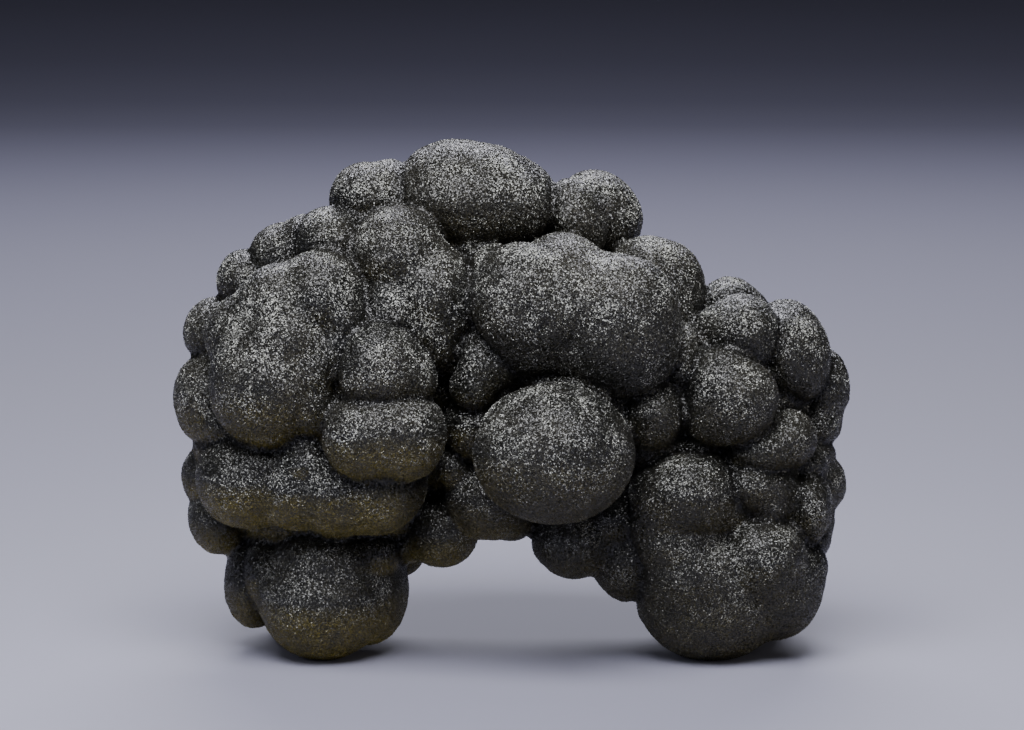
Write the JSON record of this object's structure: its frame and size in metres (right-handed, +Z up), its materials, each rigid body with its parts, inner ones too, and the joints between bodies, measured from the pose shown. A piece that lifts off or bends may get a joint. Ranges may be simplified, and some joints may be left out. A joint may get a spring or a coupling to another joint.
{
  "type": "mottramite mineral specimen",
  "caption": "Dark olive-black botryoidal mottramite specimen: rounded lobes grown together as a low arch on two legs, covered with tiny sparkling crystals; stands unheld for display.",
  "frame": {"origin": "on the surface that the specimen stands on, under the middle of its bounding box", "axes": "+Z up, +X along the specimen's width to the right as seen from its front, and the front faces -Y"},
  "size_m": [0.0798, 0.0488, 0.0602],
  "materials": {
    "mottramite": "dark olive-black fine crystal crust with a glassy to greasy sparkle"
  },
  "bodies": {
    "root": {"mottramite": "mottramite"}
  },
  "joints": []
}
